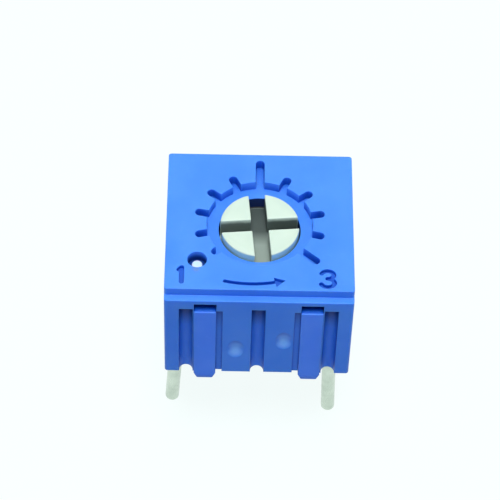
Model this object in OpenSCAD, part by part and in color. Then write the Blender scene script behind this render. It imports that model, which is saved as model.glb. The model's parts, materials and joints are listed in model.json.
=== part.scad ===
// Single-turn trimmer potentiometer: a square moulded housing, a cross-slot rotor and three round leads.
// Z = 0 is the circuit board's surface, on which the four standoff feet rest.
// The rotor turns about the Z axis. The front, with terminals 1 and 3, faces -Y. Sizes are in millimetres.

/* [Housing] */
// Width over the two side walls
body_w = 6.6; // [6.5:0.05:8]
// Front face to the rotor's axis
front_reach = 3.22; // [3.1:0.02:3.6]
// Rotor's axis to the back face
back_reach = 3.41; // [3.1:0.02:4]
// Board to the top face
body_h = 4.88; // [4.6:0.02:6]
// Board to the bottom edge of the walls
standoff_h = 0.33; // [0.2:0.01:0.5]
// Thickness of the side walls
side_wall_t = 0.4; // [0.3:0.01:0.45]
// Thickness of the front and back walls
end_wall_t = 0.8; // [0.7:0.02:0.9]
// Thickness of the top plate
top_t = 0.86; // [0.84:0.01:1.1]
// Radius of the four upright corners
corner_r = 0.1; // [0.05:0.01:0.25]
// Height of the narrower block at the top
step_h = 0.37; // [0.2:0.01:0.6]
// Width of the ledge below that block, at the front and the back
ledge_w = 0.25; // [0.1:0.01:0.4]
// Side of the square posts that the substrate seats on
post_w = 0.5; // [0.3:0.05:0.55]

/* [Front and back faces] */
// Radius of the round bottom of the grooves
groove_r = 0.24; // [0.15:0.01:0.3]
// Depth of the grooves
groove_depth = 0.3; // [0.25:0.01:0.4]
// Top face to the closed upper end of the grooves
groove_drop = 0.84; // [0.7:0.01:1.2]
// Width of a leg of the base
leg_w = 0.78; // [0.5:0.01:1]
// Width of the land between a leg and the outer groove beside it
land_w = 0.04; // [0.02:0.01:0.2]
// Top face to the upper end of the legs
leg_drop = 0.96; // [0.9:0.01:1.5]
// Height that the channel stays open above a leg
pocket_h = 0.38; // [0.2:0.01:0.45]
// Depth of the channels that hold the legs
channel_depth = 0.4; // [0.3:0.01:0.5]
// Width of the shallow recess beside a leg
channel_gap = 0.22; // [0.1:0.01:0.4]
// Depth of that recess
gap_depth = 0.1; // [0.05:0.01:0.3]
// Height of the legs above the front and back faces
leg_proud = 0.05; // [0:0.01:0.2]
// Width by which a foot narrows at each of its lower corners
foot_chamfer = 0.11; // [0.05:0.01:0.25]
// Height over which it narrows
foot_taper_h = 0.26; // [0.1:0.01:0.3]
// Radius of the shallow round dimples in the front face
dimple_r = 0.3; // [0.15:0.01:0.4]
// Depth of those dimples
dimple_depth = 0.07; // [0.02:0.01:0.12]
// Distance of the left dimple to the left of the middle groove
dimple_left = 0.78; // [0.6:0.01:0.9]
// Height of the left dimple above the board
dimple_left_h = 1.73; // [1:0.01:3]
// Distance of the right dimple to the right of the middle groove
dimple_right = 0.92; // [0.6:0.01:0.95]
// Height of the right dimple above the board
dimple_right_h = 2.26; // [1:0.01:3]

/* [Dial] */
// Radius of the round recess about the rotor
dial_r = 1.88; // [1.7:0.01:2]
// Depth of the recess and its notches
dial_depth = 0.4; // [0.2:0.01:0.5]
// Number of notches
notch_count = 11; // [5:1:13]
// Width of a notch
notch_w = 0.31; // [0.2:0.01:0.35]
// Axis to the end of an ordinary notch
notch_reach = 2.34; // [2.25:0.01:2.5]
// Axis to the end of the middle notch
long_notch_reach = 2.88; // [2.6:0.01:2.95]
// Axis to the end of the notch at terminal 3
end_notch_reach = 2.7; // [2.5:0.01:2.75]
// Axis to the end of the notch at terminal 1
short_notch_reach = 2.17; // [2.1:0.01:2.25]

/* [Gate recess] */
// Distance of the recess to the left of the axis
gate_left = 2.18; // [2.1:0.01:2.6]
// Distance of the recess in front of the axis
gate_front = 1.67; // [1.6:0.01:2.1]
// Radius of the recess
gate_r = 0.34; // [0.2:0.01:0.36]
// Depth of the recess
gate_depth = 0.46; // [0.2:0.01:0.5]
// Radius of the broken gate in it
nub_r = 0.2; // [0.1:0.01:0.25]
// Height of the broken gate
nub_h = 0.1; // [0.05:0.01:0.15]

/* [Rotor] */
// Radius of the rotor's head
head_r = 1.402; // [1.3:0.002:1.5]
// Radial gap between the head and its hole
running_gap = 0.05; // [0.02:0.01:0.1]
// Depth of the head's face below the top face
head_sink = 0.1; // [0:0.01:0.25]
// Chamfer round the head's face
head_chamfer = 0.04; // [0.02:0.01:0.1]
// Width of the driver slot that points at the dial
slot_w = 0.58; // [0.4:0.01:0.7]
// Width of the driver slot across it
cross_slot_w = 0.5; // [0.4:0.01:0.7]
// Depth of the driver slots
slot_depth = 0.78; // [0.5:0.01:0.8]
// Radius of the flange that keeps the rotor in
flange_r = 2.1; // [1.98:0.01:2.14]
// Thickness of the flange
flange_t = 0.5; // [0.4:0.01:0.7]
// Axis to the end of the stop lug
lug_reach = 2.55; // [2.4:0.01:2.6]
// Angle that the stop lug takes up
lug_angle = 30; // [15:1:40]
// Turning range from stop to stop
travel = 260; // [200:1:270]
// Angle at which the rotor stands, counted from the middle of its range
rest_turn = 5.2; // [-20:0.1:20]
// Radius of the round wire section of the seal ring
seal_wire_r = 0.18; // [0.15:0.01:0.24]

/* [Wiper] */
// Thickness of the spring sheet
sheet_t = 0.08; // [0.05:0.01:0.1]
// Axis to the frame's outer edge on the side of the track fingers
frame_front = 0.7; // [0.65:0.01:0.9]
// Axis to the frame's outer edge on the side of the collector fingers
frame_back = 0.95; // [0.9:0.01:1.1]
// Axis to the frame's two other outer edges
frame_side = 0.7; // [0.65:0.01:0.9]
// Width of the frame's rails
rail_w = 0.3; // [0.26:0.01:0.34]
// Radius of the rotor's pegs, which pass through the frame's corners
peg_r = 0.08; // [0.06:0.01:0.1]
// Radius of a peg's head
peg_head_r = 0.12; // [0.11:0.01:0.13]
// Height of a peg's head
peg_head_h = 0.06; // [0.04:0.01:0.08]
// Width of one spring finger
finger_w = 0.12; // [0.08:0.01:0.14]
// Gap between two fingers
finger_gap = 0.06; // [0.04:0.01:0.08]
// Number of fingers on the resistive track
track_fingers = 5; // [3:1:5]
// Number of fingers on the collector
collector_fingers = 3; // [1:1:3]
// Length of a finger's slope, measured level, from its knee to the middle of its curl
slope_run = 0.55; // [0.45:0.01:0.6]
// Outer radius of the curl at the end of a finger
curl_r = 0.14; // [0.12:0.01:0.18]
// Height between the flange and the substrate
spring_space = 0.5; // [0.48:0.01:0.7]

/* [Element] */
// Thickness of the ceramic substrate
substrate_t = 0.5; // [0.4:0.01:0.7]
// Thickness of the printed films
film_t = 0.04; // [0.02:0.01:0.06]
// Radius of the middle of the resistive track
track_r = 2.05; // [1.95:0.01:2.1]
// Width of the resistive track
track_w = 0.4; // [0.3:0.01:0.5]
// Angle that the track runs on past the wiper's range, at each end
track_margin = 2; // [1:0.5:3]
// Angle of the track's circle that an end pad takes up
pad_sweep = 10; // [8:0.5:12]
// Radius of the round collector
collector_r = 0.75; // [0.5:0.01:0.8]
// Height of the solder above the films
solder_h = 0.12; // [0.08:0.01:0.15]
// Radius of the solder at its foot
solder_r = 0.4; // [0.34:0.01:0.42]

/* [Base] */
// Thickness of the base plate
base_t = 0.45; // [0.3:0.01:0.6]
// Bottom edge of the walls to the underside of the plate
base_recess = 0.22; // [0.1:0.01:0.35]

/* [Leads] */
// Radius of a lead
lead_r = 0.255; // [0.2:0.005:0.27]
// Distance between neighbouring leads across the front
lead_pitch = 2.54; // [2.5:0.01:2.56]
// Distance between the front row and the back lead
lead_row_gap = 2.54; // [2.4:0.01:2.7]
// Length of the leads below the board's surface
lead_len = 4.54; // [3:0.01:6]
// Chamfer at the cut end of a lead
lead_chamfer = 0.06; // [0.02:0.01:0.1]
// Radius on which the bent leads curve
bend_r = 1.2; // [1.1:0.05:1.5]
// Angle at which the back lead leans backwards
lead_2_lean = 0.6; // [0.6:0.1:4]
// Direction in which lead 1 was pushed, from terminal 3's side
lead_1_way = 149; // [120:1:240]
// Angle of its first bend
lead_1_kick = 17; // [8:0.1:20]
// Straight run between its two bends
lead_1_run = 1.45; // [0.8:0.05:1.6]
// Angle at which its lower part still leans
lead_1_lean = 3.6; // [1:0.1:6]
// Direction in which lead 3 was pushed, from terminal 3's side
lead_3_way = 0; // [-60:1:60]
// Angle of its first bend
lead_3_kick = 7.6; // [6:0.1:20]
// Straight run between its two bends
lead_3_run = 1.2; // [0.8:0.05:1.6]
// Angle at which its lower part still leans
lead_3_lean = 1.5; // [0:0.1:4]

/* [Clearances] */
// Gap of a piece that drops into the housing
fit_gap = 0.04; // [0.02:0.01:0.06]
// Gap above, below and inside the seal ring
seal_gap = 0.02; // [0.01:0.01:0.04]
// Gap between a finger's curl and the film that it wipes
wipe_gap = 0.02; // [0.01:0.01:0.04]
// Radial gap between the flange and the stop
stop_gap = 0.06; // [0.04:0.01:0.1]
// Angle left between the stop lug and the stop
stop_slack = 0.5; // [0.2:0.1:2]

/* [Hidden] */
$fn = 64;

// Overshoot of a cutter past the surface that it opens
cut = 0.2;

// Heights, worked out downwards from the top face and upwards from the board
wall_z = standoff_h;
plate_z = body_h - top_t;
head_z = body_h - head_sink;
flange_top_z = plate_z - 2 * (seal_wire_r + seal_gap);
flange_z = flange_top_z - flange_t;
film_z = flange_z - spring_space;
film_top_z = film_z + film_t;
substrate_z = film_z - substrate_t;
base_z = wall_z + base_recess;
base_top_z = base_z + base_t;

// Inside of the housing
cave_x = body_w / 2 - side_wall_t;
cave_front = front_reach - end_wall_t;
cave_back = back_reach - end_wall_t;

// The legs stand just inside the outer grooves
leg_x = lead_pitch - groove_r - land_w - leg_w / 2;
leg_top_z = body_h - leg_drop;

// Rotor angles, from +X, at the middle of the range and as the rotor stands
mid_angle = 90;
pointer_angle = mid_angle + rest_turn;
stop_angle = (360 - travel) - lug_angle - 2 * stop_slack;

// Start of the resistive track on terminal 3's side, and the gap between its two ends
track_start = mid_angle - travel / 2 - track_margin;
track_gap = 360 - travel - 2 * track_margin;

// Terminal places: 1 and 3 in the front row, 2 behind them
front_row_y = -lead_row_gap / 2;
back_row_y = lead_row_gap / 2;
lead_hole_r = lead_r + fit_gap;
lead_top_z = film_top_z + solder_h;

// Where leads 1 and 3 start to bend, inside the base plate's recess
bend_z = wall_z + base_recess / 11;
// A bend is a chain of short straight stretches with a ball, a little thicker than the wire, at each kink
bend_steps = 2;
ball_r = 1.02 * lead_r;

// Keeps its children on the side of terminal 3 (side 1) or mirrors them to that of terminal 1 (side -1)
module on_side(side) {
    mirror([side < 0 ? 1 : 0, 0, 0]) children();
}

// Upright block with rounded corners, from x0 to x1 and from y0 to y1
module rounded_block(x0, x1, y0, y1, z0, z1, r) {
    translate([x0 + r, y0, z0]) cube([x1 - x0 - 2 * r, y1 - y0, z1 - z0]);
    translate([x0, y0 + r, z0]) cube([x1 - x0, y1 - y0 - 2 * r, z1 - z0]);
    for (x = [x0 + r, x1 - r], y = [y0 + r, y1 - r])
        translate([x, y, z0]) cylinder(h = z1 - z0, r = r);
}

// Plain upright block between two opposite corners
module block(x0, x1, y0, y1, z0, z1) {
    translate([x0, y0, z0]) cube([x1 - x0, y1 - y0, z1 - z0]);
}

// Wedge with its point on the axis, centred on an angle from +X
module wedge(angle, width, reach, z0, z1) {
    side = reach / cos(width / 2);
    translate([0, 0, z0]) linear_extrude(z1 - z0)
        polygon([
            [0, 0],
            side * [cos(angle - width / 2), sin(angle - width / 2)],
            side * [cos(angle), sin(angle)],
            side * [cos(angle + width / 2), sin(angle + width / 2)]
        ]);
}

// Flat ring about the axis
module ring(r_in, r_out, z0, z1) {
    translate([0, 0, z0]) difference() {
        cylinder(h = z1 - z0, r = r_out);
        translate([0, 0, -cut]) cylinder(h = z1 - z0 + 2 * cut, r = r_in);
    }
}

// Repeats its children on the front face and, turned about, on the back face
module on_both_faces() {
    translate([0, -front_reach, 0]) children();
    translate([0, back_reach, 0]) mirror([0, 1, 0]) children();
}

// One notch of the dial, as a cutter: a bar with a round end
module dial_notch(angle, reach) {
    end = reach - notch_w / 2;
    rotate([0, 0, angle]) translate([0, 0, body_h - dial_depth]) {
        translate([head_r, -notch_w / 2, 0]) cube([end - head_r, notch_w, dial_depth + cut]);
        translate([end, 0, 0]) cylinder(h = dial_depth + cut, r = notch_w / 2);
    }
}

// Recess round the rotor with its notches, from the stop at terminal 3 to the stop at terminal 1
module dial_cutter() {
    translate([0, 0, body_h - dial_depth]) cylinder(h = dial_depth + cut, r = dial_r);
    for (i = [0 : notch_count - 1])
        dial_notch(mid_angle - travel / 2 + i * travel / (notch_count - 1),
            i == 0 ? end_notch_reach
            : i == (notch_count - 1) / 2 ? long_notch_reach
            : i == notch_count - 1 ? short_notch_reach : notch_reach);
}

// Round recess in the top, with the broken gate left standing on its floor
module gate_cutter() {
    floor_z = body_h - gate_depth;
    translate([-gate_left, -gate_front, 0]) difference() {
        translate([0, 0, floor_z]) cylinder(h = gate_depth + cut, r = gate_r);
        translate([0, 0, floor_z - cut]) cylinder(h = nub_h + cut, r = nub_r);
    }
}

// Grooves, leg channels and tab notches of one face, which lies in the plane y = 0
module face_cutters() {
    for (x = [-lead_pitch, 0, lead_pitch])
        translate([x, 0, 0]) {
            translate([0, groove_depth - groove_r, wall_z - cut])
                cylinder(h = body_h - groove_drop - wall_z + cut, r = groove_r);
            block(-groove_r, groove_r, -cut, groove_depth - groove_r, wall_z - cut, body_h - groove_drop);
        }
    for (side = [-1, 1]) on_side(side) {
        block(leg_x - leg_w / 2, leg_x + leg_w / 2, -cut, channel_depth, wall_z - cut, leg_top_z + pocket_h);
        block(leg_x - leg_w / 2 - channel_gap, leg_x, -cut, gap_depth, wall_z - cut, leg_top_z);
        block(leg_x - leg_w / 2, leg_x + leg_w / 2, 0, end_wall_t + cut, wall_z - cut, base_top_z);
    }
}

// Shallow round marks in the front face
module dimple_cutters() {
    curve_r = (dimple_r * dimple_r + dimple_depth * dimple_depth) / (2 * dimple_depth);
    for (place = [[-dimple_left, dimple_left_h], [dimple_right, dimple_right_h]])
        translate([place[0], dimple_depth - front_reach - curve_r, place[1]]) sphere(r = curve_r);
}

// Cavity, open at the bottom, without the corner posts and the stop
module cavity() {
    difference() {
        block(-cave_x, cave_x, -cave_front, cave_back, wall_z - cut, plate_z);
        for (x = [-cave_x, cave_x - post_w], y = [-cave_front, cave_back - post_w])
            block(x, x + post_w, y, y + post_w, film_z, plate_z + cut);
        difference() {
            wedge(mid_angle + 180, stop_angle, front_reach, flange_z, plate_z + cut);
            translate([0, 0, flange_z - cut])
                cylinder(h = plate_z - flange_z + 3 * cut, r = flange_r + stop_gap);
        }
    }
}

// Full-width block of the body, its front and back faces drawn in by a ledge
module body_block(ledge, top_z) {
    rounded_block(-body_w / 2, body_w / 2, ledge - front_reach, back_reach - ledge, wall_z, top_z, corner_r);
}

module housing() {
    color("royalblue") difference() {
        union() {
            body_block(0, body_h - step_h);
            body_block(ledge_w, body_h);
        }
        cavity();
        translate([0, 0, plate_z - cut]) cylinder(h = top_t + 2 * cut, r = head_r + running_gap);
        dial_cutter();
        gate_cutter();
        on_both_faces() face_cutters();
        dimple_cutters();
    }
}

// Plate that drops into the cavity from below
module drop_in_plate(z0, z1) {
    block(fit_gap - cave_x, cave_x - fit_gap, fit_gap - cave_front, cave_back - fit_gap, z0, z1);
}

// Open notch at the edge of a plate for lead 1 or 3: side is -1 or 1
module edge_notch(side, r, z0, z1) {
    translate([side * lead_pitch, front_row_y, z0]) cylinder(h = z1 - z0, r = r);
    on_side(side) block(lead_pitch, cave_x, front_row_y - r, front_row_y + r, z0, z1);
}

// Openings of a plate for all three leads
module lead_openings(z0, z1) {
    for (side = [-1, 1]) edge_notch(side, lead_hole_r, z0, z1);
    translate([0, back_row_y, z0]) cylinder(h = z1 - z0, r = lead_hole_r);
}

// Leg of the base in its channel, with the foot at z = 0 and the tab that ties it to the plate
module leg() {
    translate([0, channel_depth, 0]) rotate([90, 0, 0]) linear_extrude(channel_depth + leg_proud)
        polygon([
            [-leg_w / 2 + foot_chamfer, 0], [leg_w / 2 - foot_chamfer, 0], [leg_w / 2, foot_taper_h],
            [leg_w / 2, leg_top_z], [-leg_w / 2, leg_top_z], [-leg_w / 2, foot_taper_h]
        ]);
    block(-leg_w / 2, leg_w / 2, channel_depth - leg_proud, end_wall_t + 2 * fit_gap, base_z, base_top_z);
}

module base() {
    color("cornflowerblue") difference() {
        union() {
            drop_in_plate(base_z, base_top_z);
            on_both_faces() for (x = [-leg_x, leg_x]) translate([x, 0, 0]) leg();
        }
        lead_openings(base_z - cut, base_top_z + cut);
    }
}

// Straight part of every lead, inside the body
module lead_core(x, y, r, z0, z1) {
    translate([x, y, z0]) cylinder(h = z1 - z0, r = r);
}

// Sealing resin between the base and the substrate, which also runs down round the leads
module potting() {
    color("darkkhaki") difference() {
        union() {
            block(-cave_x, cave_x, -cave_front, cave_back, base_top_z, substrate_z);
            difference() {
                lead_openings(base_z, base_top_z);
                block(-body_w, -cave_x + fit_gap, -body_w, body_w, base_z - cut, base_top_z);
                block(cave_x - fit_gap, body_w, -body_w, body_w, base_z - cut, base_top_z);
            }
        }
        for (p = [[-lead_pitch, front_row_y], [0, back_row_y], [lead_pitch, front_row_y]])
            lead_core(p[0], p[1], lead_r, base_z - cut, substrate_z + cut);
    }
}

// Places of the four pegs, one in each corner of the frame
module at_pegs() {
    for (x = [rail_w / 2 - frame_back, frame_front - rail_w / 2], side = [-1, 1])
        translate([x, side * (frame_side - rail_w / 2), 0]) children();
}

module rotor() {
    color("ivory") {
        difference() {
            rotate_extrude() polygon([
                [0, flange_z], [flange_r, flange_z], [flange_r, flange_top_z], [head_r, flange_top_z],
                [head_r, head_z - head_chamfer], [head_r - head_chamfer, head_z], [0, head_z]
            ]);
            for (slot = [[0, slot_w], [90, cross_slot_w]]) rotate([0, 0, pointer_angle + slot[0]])
                block(-2 * head_r, 2 * head_r, -slot[1] / 2, slot[1] / 2, head_z - slot_depth, head_z + cut);
        }
        intersection() {
            ring(flange_r - stop_gap, lug_reach, flange_z, flange_top_z);
            wedge(pointer_angle, lug_angle, 2 * lug_reach, flange_z, flange_top_z);
        }
        rotate([0, 0, pointer_angle]) at_pegs() {
            translate([0, 0, flange_z - sheet_t]) cylinder(h = sheet_t + flange_t / 2, r = peg_r);
            translate([0, 0, flange_z - sheet_t - peg_head_h]) cylinder(h = peg_head_h, r = peg_head_r);
        }
    }
}

module seal_ring() {
    color("dimgray") translate([0, 0, flange_top_z + seal_gap + seal_wire_r])
        rotate_extrude() translate([head_r + seal_gap + seal_wire_r, 0]) circle(r = seal_wire_r);
}

// One finger: level from its root, then down to a half-round curl whose middle is at tip_x
module finger(root_x, tip_x) {
    top = flange_z;
    curl_z = film_top_z + wipe_gap + curl_r;
    knee_x = tip_x - slope_run;
    slope_x = tip_x - curl_r + sheet_t;
    translate([0, finger_w / 2, 0]) rotate([90, 0, 0]) linear_extrude(finger_w) {
        polygon([
            [root_x, top], [root_x, top - sheet_t], [knee_x, top - sheet_t],
            [slope_x - sheet_t, curl_z], [slope_x, curl_z], [knee_x + sheet_t, top]
        ]);
        translate([tip_x, curl_z]) difference() {
            circle(r = curl_r);
            circle(r = curl_r - sheet_t);
            translate([-curl_r, 0]) square([2 * curl_r, curl_r]);
        }
    }
}

// Row of fingers side by side
module finger_row(count, root_x, tip_x) {
    for (i = [0 : count - 1])
        translate([0, (i - (count - 1) / 2) * (finger_w + finger_gap), 0]) finger(root_x, tip_x);
}

// Spring sheet on the rotor's underside: a window frame, track fingers in front, collector fingers within
module wiper() {
    z0 = flange_z - sheet_t;
    color("gold") rotate([0, 0, pointer_angle]) {
        difference() {
            block(-frame_back, frame_front, -frame_side, frame_side, z0, flange_z);
            block(rail_w - frame_back, frame_front - rail_w, rail_w - frame_side, frame_side - rail_w,
                z0 - cut, flange_z + cut);
            at_pegs() translate([0, 0, z0 - cut]) cylinder(h = sheet_t + 2 * cut, r = peg_r);
        }
        finger_row(track_fingers, frame_front - rail_w / 2, track_r);
        finger_row(collector_fingers, rail_w / 2 - frame_back, 0);
    }
}

module substrate() {
    color("whitesmoke") difference() {
        drop_in_plate(substrate_z, film_z);
        lead_openings(substrate_z - cut, film_z + cut);
    }
}

// Ring on the track's circle, wider than the track by a margin at both edges
module track_ring(margin, z0, z1) {
    ring(track_r - track_w / 2 - margin, track_r + track_w / 2 + margin, z0, z1);
}

module resistive_track() {
    color("black") difference() {
        track_ring(0, film_z, film_top_z);
        wedge(mid_angle + 180, track_gap, 2 * track_r, film_z - cut, film_top_z + cut);
    }
}

module collector_track() {
    color("silver") difference() {
        union() {
            translate([0, 0, film_z]) cylinder(h = film_t, r = collector_r);
            block(-track_w / 2, track_w / 2, 0, back_row_y, film_z, film_top_z);
            translate([0, back_row_y, film_z]) cylinder(h = film_t, r = solder_r);
        }
        lead_core(0, back_row_y, lead_hole_r, film_z - cut, film_top_z + cut);
        track_ring(fit_gap, film_z - cut, film_top_z + cut);
    }
}

// End pad on the side of terminal 3 (side 1) or terminal 1 (side -1)
module end_pad(side) {
    pad_angle = track_start - pad_sweep / 2;
    inner = track_r * [cos(pad_angle), sin(pad_angle)];
    outer = [lead_pitch, front_row_y];
    run = outer - inner;
    color("silver") on_side(side) difference() {
        intersection() {
            union() {
                intersection() {
                    track_ring(0, film_z, film_top_z);
                    wedge(track_start, 2 * pad_sweep, 2 * track_r, film_z, film_top_z);
                }
                translate([inner[0], inner[1], film_z]) rotate([0, 0, atan2(run[1], run[0])])
                    block(0, norm(run), -track_w / 2, track_w / 2, 0, film_t);
                translate([outer[0], outer[1], film_z]) cylinder(h = film_t, r = solder_r);
            }
            drop_in_plate(film_z - cut, film_top_z + cut);
        }
        edge_notch(1, lead_hole_r, film_z - cut, film_top_z + cut);
        difference() {
            track_ring(fit_gap, film_z - cut, film_top_z + cut);
            wedge(mid_angle + 180, track_gap, 3 * track_r, film_z - 2 * cut, film_top_z + 2 * cut);
        }
    }
}

module end_pad_1() { end_pad(-1); }

module end_pad_3() { end_pad(1); }

// Round wire along +Z from z = 0, with a chamfer at its far end
module cut_wire(length) {
    rotate_extrude() polygon([
        [0, 0], [lead_r, 0], [lead_r, length - lead_chamfer], [lead_r - lead_chamfer, length], [0, length]
    ]);
}

// Step along one stretch, [lean, length], as [outwards, up]
function stride(stretch) = stretch[1] * [sin(stretch[0]), -cos(stretch[0])];

// Point at the end of the first n stretches, counted from a start
function walk(start, stretches, n) =
    n == 0 ? start : walk(start, stretches, n - 1) + stride(stretches[n - 1]);

// Short stretches of one bend, between two leans
function bend_stretches(lean_a, lean_b) =
    let (step = (lean_b - lean_a) / bend_steps)
    [for (i = [1 : bend_steps - 1]) [lean_a + i * step, bend_r * abs(step) * PI / 180]];

// Ball that fills a kink of a lead
module kink() {
    sphere(r = ball_r);
}

// Lead that was pushed aside: it leans out at the first bend and straightens partly at the second
module bent_lead(x, way, kick, run, lean) {
    start = [0, bend_z];
    stretches = concat(bend_stretches(0, kick), [[kick, run]], bend_stretches(kick, lean));
    count = len(stretches);
    foot = walk(start, stretches, count);
    color("lightgray") {
        lead_core(x, front_row_y, lead_r, bend_z, lead_top_z);
        translate([x, front_row_y, 0]) rotate([0, 0, way]) {
            for (i = [0 : count - 1]) {
                from = walk(start, stretches, i);
                translate([from[0], 0, from[1]]) {
                    kink();
                    rotate([0, 180 - stretches[i][0], 0]) cylinder(h = stretches[i][1], r = lead_r);
                }
            }
            translate([foot[0], 0, foot[1]]) {
                kink();
                rotate([0, 180 - lean, 0]) cut_wire((foot[1] + lead_len) / cos(lean));
            }
        }
    }
}

module terminal_1() { bent_lead(-lead_pitch, lead_1_way, lead_1_kick, lead_1_run, lead_1_lean); }

module terminal_2() {
    color("lightgray") {
        lead_core(0, back_row_y, lead_r, bend_z, lead_top_z);
        translate([0, back_row_y, bend_z]) {
            kink();
            rotate([180 + lead_2_lean, 0, 0]) cut_wire((bend_z + lead_len) / cos(lead_2_lean));
        }
    }
}

module terminal_3() { bent_lead(lead_pitch, lead_3_way, lead_3_kick, lead_3_run, lead_3_lean); }

// Solder round the top of a lead, cut off at the substrate's edge
module solder(x, y) {
    color("gainsboro") difference() {
        translate([x, y, film_top_z]) cylinder(h = solder_h, r1 = solder_r, r2 = lead_hole_r);
        lead_core(x, y, lead_r, film_top_z - cut, lead_top_z + cut);
        for (side = [-1, 1]) on_side(side)
            block(cave_x - fit_gap, body_w, -body_w, body_w, film_top_z - cut, lead_top_z + cut);
    }
}

module solder_joint_1() { solder(-lead_pitch, front_row_y); }

module solder_joint_2() { solder(0, back_row_y); }

module solder_joint_3() { solder(lead_pitch, front_row_y); }

housing();
base();
potting();
rotor();
seal_ring();
wiper();
substrate();
resistive_track();
collector_track();
end_pad_1();
end_pad_3();
terminal_1();
terminal_2();
terminal_3();
solder_joint_1();
solder_joint_2();
solder_joint_3();
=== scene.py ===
# Looks of a small square single-turn trimmer potentiometer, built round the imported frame.
# Pieces are modelled in millimetres and scaled to the frame's metres when they are placed.
import json
from math import asin, atan2, ceil, cos, degrees, hypot, pi, radians, sin

import bmesh
import bpy
from mathutils import Matrix, Vector


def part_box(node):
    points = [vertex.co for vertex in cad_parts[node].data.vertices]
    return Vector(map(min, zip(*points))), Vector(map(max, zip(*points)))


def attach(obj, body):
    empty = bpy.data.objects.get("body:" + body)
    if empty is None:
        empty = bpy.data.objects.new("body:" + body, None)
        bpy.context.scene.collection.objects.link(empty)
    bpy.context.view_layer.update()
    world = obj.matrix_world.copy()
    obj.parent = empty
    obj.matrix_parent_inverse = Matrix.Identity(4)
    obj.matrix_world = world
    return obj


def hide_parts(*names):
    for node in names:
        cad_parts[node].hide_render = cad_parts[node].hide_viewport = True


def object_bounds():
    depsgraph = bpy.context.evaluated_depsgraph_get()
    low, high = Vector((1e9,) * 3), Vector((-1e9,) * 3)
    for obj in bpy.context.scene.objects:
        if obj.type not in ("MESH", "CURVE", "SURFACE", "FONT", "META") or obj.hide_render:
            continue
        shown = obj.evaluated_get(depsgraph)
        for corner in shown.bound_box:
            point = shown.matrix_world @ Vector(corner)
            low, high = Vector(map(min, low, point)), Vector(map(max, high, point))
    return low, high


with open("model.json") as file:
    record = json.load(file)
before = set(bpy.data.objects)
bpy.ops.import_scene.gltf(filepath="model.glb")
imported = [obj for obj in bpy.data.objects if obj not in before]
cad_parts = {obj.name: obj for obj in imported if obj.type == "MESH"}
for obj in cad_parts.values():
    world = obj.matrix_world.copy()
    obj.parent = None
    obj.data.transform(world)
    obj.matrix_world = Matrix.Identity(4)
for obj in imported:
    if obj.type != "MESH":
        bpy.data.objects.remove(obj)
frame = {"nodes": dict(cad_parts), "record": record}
cad_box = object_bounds()

MM = 0.001


def box_mm(node):
    """Lowest and highest corner of a node, in millimetres."""
    low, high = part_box(node)
    return low / MM, high / MM


# Sizes in millimetres, as the solids have them
body_low, body_high = box_mm("housing")
half_w = body_high.x
front_y, back_y = body_low.y, body_high.y
wall_z, top_z = body_low.z, body_high.z
side_wall_t = 0.4
end_wall_t = 0.8
top_t = 0.86
corner_r = 0.1
step_h = 0.37
ledge_w = 0.25
groove_r = 0.24
groove_depth = 0.3
groove_drop = 0.84
leg_w = 0.78
land_w = 0.04
leg_drop = 0.96
pocket_h = 0.38
channel_depth = 0.4
channel_gap = 0.22
leg_proud = 0.05
gap_depth = 0.1
foot_chamfer = 0.11
foot_taper_h = 0.26
dimple_r = 0.3
dimple_depth = 0.07
dimple_places = [(-0.78, 1.73), (0.92, 2.26)]
dial_r = 1.88
dial_depth = 0.4
notch_count = 11
notch_w = 0.31
notch_reach = 2.34
long_notch_reach = 2.88
end_notch_reach = 2.7
short_notch_reach = 2.17
travel = 260
gate_x, gate_y = -2.18, -1.67
gate_r = 0.34
gate_depth = 0.46
head_r = 1.402
running_gap = 0.05
head_sink = 0.1
slot_w = 0.58
cross_slot_w = 0.5
slot_depth = 0.78
flange_r = 2.1
flange_t = 0.5
lug_reach = 2.55
lug_angle = 30
pointer_angle = 95.2
peg_r = 0.08
peg_head_r = 0.12
peg_head_h = 0.06
sheet_t = 0.08
peg_places = [(x, y) for x in (-0.8, 0.55) for y in (-0.55, 0.55)]
base_t = 0.45
base_recess = 0.22
fit_gap = 0.04
lead_pitch = 2.54
lead_row_y = 1.27
lead_r = 0.255
lead_len = 4.54
lead_chamfer = 0.06
bend_r = 1.2
bend_z = 0.35

# Derived places
plate_z = top_z - top_t
base_z = wall_z + base_recess
base_top_z = base_z + base_t
cave_x = half_w - side_wall_t
cave_front, cave_back = front_y + end_wall_t, back_y - end_wall_t
leg_x = lead_pitch - groove_r - land_w - leg_w / 2
leg_top_z = top_z - leg_drop
ledge_z = top_z - step_h
hole_r = head_r + running_gap
head_z = top_z - head_sink
flange_z = box_mm("rotor")[0].z + sheet_t + peg_head_h
flange_top_z = flange_z + flange_t
lead_top_z = box_mm("terminal_2")[1].z
lead_hole_r = lead_r + fit_gap

# Finish that the solids don't have, in millimetres: worn edges, lips of the recesses, the broken gate,
# the dimples' full height and the engraved marks
edge_r = 0.035
edge_steps = 4
step_foot_r = 0.03
lip_r = 0.028
lip_steps = 4
side_lip_r = 0.02
rotor_edge_r = 0.03
head_edge_r = 0.05
nub_r = 0.2
nub_h = 0.16
nub_edge = 0.03
dimple_half_h = 0.5
mark_depth = 0.16
mark_z = top_z - mark_depth
mark_w = 0.165
arrow_w = 0.14

# Corners flatter than these angles in degrees are shaded smooth
smooth_angle = 38
dimple_rim_angle = 12

# How far cutters reach past a surface, and the small steps that keep faces from lying in one plane.
# Points nearer to each other than a sliver are merged.
cut = 0.2
ring_gap = 0.002
stagger = 0.003
sliver = 0.0005


def link(obj):
    bpy.context.scene.collection.objects.link(obj)
    return obj


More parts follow.
